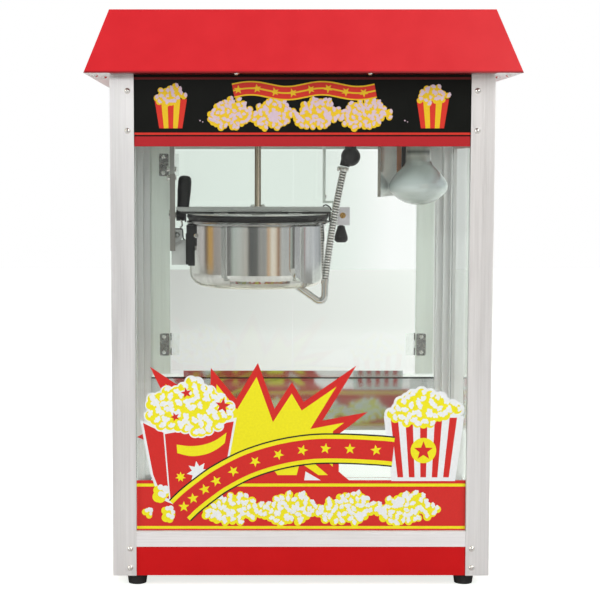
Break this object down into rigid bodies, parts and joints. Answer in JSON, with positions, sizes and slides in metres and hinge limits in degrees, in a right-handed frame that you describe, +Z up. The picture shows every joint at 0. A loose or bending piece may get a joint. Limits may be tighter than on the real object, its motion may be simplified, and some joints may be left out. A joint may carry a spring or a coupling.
{
  "type": "popcorn cart",
  "caption": "Countertop popcorn cabinet: glazed box under a red hipped canopy, tilting lidded kettle with driven stirrer, warming lamp, rear doors and crumb drawer.",
  "frame": {"origin": "centre of the footprint, on the surface under the feet", "axes": "+X to the right seen from the customer's side, +Y towards the operator's side at the rear, +Z up"},
  "size_m": [0.5616, 0.4196, 0.759],
  "materials": {
    "post_aluminium": "satin ribbed extrusion",
    "red_sheet": "gloss red powder coat",
    "black_sign": "printed gloss black and red",
    "film": "printed gloss film",
    "cabinet_glass": "clear toughened",
    "door_clear": "clear acrylic",
    "bright_screws": "bright zinc",
    "polished_steel": "polished stainless",
    "brushed_steel": "brushed stainless",
    "hose_steel": "interlocked metal hose",
    "black_plastic": "satin black",
    "black_enamel": "gloss black enamel",
    "motor_casting": "grey casting",
    "ceramic": "glazed ceramic",
    "bulb_glass": "frosted reflector bulb",
    "foot_rubber": "matt rubber"
  },
  "bodies": {
    "cabinet": {"post_front_left": "post_aluminium", "post_front_right": "post_aluminium", "post_rear_left": "post_aluminium", "post_rear_right": "post_aluminium", "front_rail": "post_aluminium", "side_rails": "post_aluminium", "rear_stiles": "post_aluminium", "base_pan": "red_sheet", "base_rear_panel": "red_sheet", "side_fascia_left": "red_sheet", "side_fascia_right": "red_sheet", "control_panel": "red_sheet", "roof_canopy": "red_sheet", "sign_panel": "black_sign", "glass_film": "film", "front_glass": "cabinet_glass", "side_glass_left": "cabinet_glass", "side_glass_right": "cabinet_glass", "frame_screws": "bright_screws", "hanger_bolts": "bright_screws", "hinge_plates": "bright_screws", "rear_apron": "polished_steel", "lamp_shield": "polished_steel", "hanger_right": "polished_steel", "hanger_left_channel": "brushed_steel", "hanger_left_strap": "brushed_steel", "pivot_block": "brushed_steel", "hook_bracket": "brushed_steel", "ceiling_plate": "brushed_steel", "crumb_deck": "brushed_steel", "conduit_plug": "black_plastic", "switch_frames": "black_plastic", "cord_gland": "black_plastic", "gearmotor": "motor_casting", "lamp_holder": "ceramic", "lamp_bulb": "bulb_glass", "rubber_feet": "foot_rubber"},
    "drive": {"drive_fork": "brushed_steel"},
    "kettle": {"kettle_pot": "polished_steel", "kettle_collar": "black_enamel", "crossbar": "brushed_steel", "pivot_pins": "polished_steel", "kettle_handle": "black_plastic", "terminal_cover": "polished_steel", "kettle_bumper": "black_plastic", "conduit_pipe": "polished_steel", "conduit_hose": "hose_steel"},
    "stirrer": {"stirrer_shaft": "brushed_steel", "stirrer_arms": "brushed_steel"},
    "front_lid": {"lid_front": "brushed_steel"},
    "rear_lid": {"lid_rear": "brushed_steel"},
    "latch": {"latch_knob": "black_plastic"},
    "left_door": {"door_left": "door_clear", "door_hinges_left": "door_clear"},
    "right_door": {"door_right": "door_clear", "door_hinges_right": "door_clear"},
    "drawer": {"kernel_drawer": "brushed_steel"},
    "heat_switch": {"rocker_heat": "black_plastic"},
    "motor_switch": {"rocker_motor": "black_plastic"},
    "light_switch": {"rocker_light": "black_plastic"}
  },
  "joints": [
    {"name": "drive_spin", "type": "hinge", "parent": "cabinet", "child": "drive", "pos_m": [-0.056, 0, 0.61], "axis": [0, 0, 1], "continuous": true},
    {"name": "stirrer_spin", "type": "hinge", "parent": "kettle", "child": "stirrer", "pos_m": [-0.056, 0, 0.45], "axis": [0, 0, 1], "continuous": true},
    {"name": "kettle_tilt", "type": "hinge", "parent": "cabinet", "child": "kettle", "pos_m": [0, 0, 0.488], "axis": [-1, 0, 0], "range_deg": [0, 100], "deforming": ["conduit_hose"]},
    {"name": "front_lid_lift", "type": "hinge", "parent": "kettle", "child": "front_lid", "pos_m": [-0.056, -0.0174, 0.4938], "axis": [-1, 0, 0], "range_deg": [0, 95]},
    {"name": "rear_lid_lift", "type": "hinge", "parent": "kettle", "child": "rear_lid", "pos_m": [-0.056, 0.0174, 0.4938], "axis": [1, 0, 0], "range_deg": [0, 95]},
    {"name": "latch_pull", "type": "slide", "parent": "cabinet", "child": "latch", "axis": [0, 0, -1], "range_m": [0, 0.006], "stiffness_N_per_m": 300, "springref_m": -0.003},
    {"name": "left_door_swing", "type": "hinge", "parent": "cabinet", "child": "left_door", "pos_m": [-0.19, 0.1768, 0.4], "axis": [0, 0, 1], "range_deg": [0, 110]},
    {"name": "right_door_swing", "type": "hinge", "parent": "cabinet", "child": "right_door", "pos_m": [0.19, 0.1768, 0.4], "axis": [0, 0, -1], "range_deg": [0, 110]},
    {"name": "drawer_slide", "type": "slide", "parent": "cabinet", "child": "drawer", "axis": [0, 1, 0], "range_m": [0, 0.2]},
    {"name": "heat_switch_rock", "type": "hinge", "parent": "cabinet", "child": "heat_switch", "pos_m": [-0.07, 0.173, 0.632], "axis": [-1, 0, 0], "range_deg": [0, 20]},
    {"name": "motor_switch_rock", "type": "hinge", "parent": "cabinet", "child": "motor_switch", "pos_m": [0, 0.173, 0.632], "axis": [-1, 0, 0], "range_deg": [0, 20]},
    {"name": "light_switch_rock", "type": "hinge", "parent": "cabinet", "child": "light_switch", "pos_m": [0.07, 0.173, 0.632], "axis": [-1, 0, 0], "range_deg": [0, 20]}
  ],
  "couplings": [
    {"joint": "drive_spin", "follows": "stirrer_spin", "ratio": 1}
  ]
}
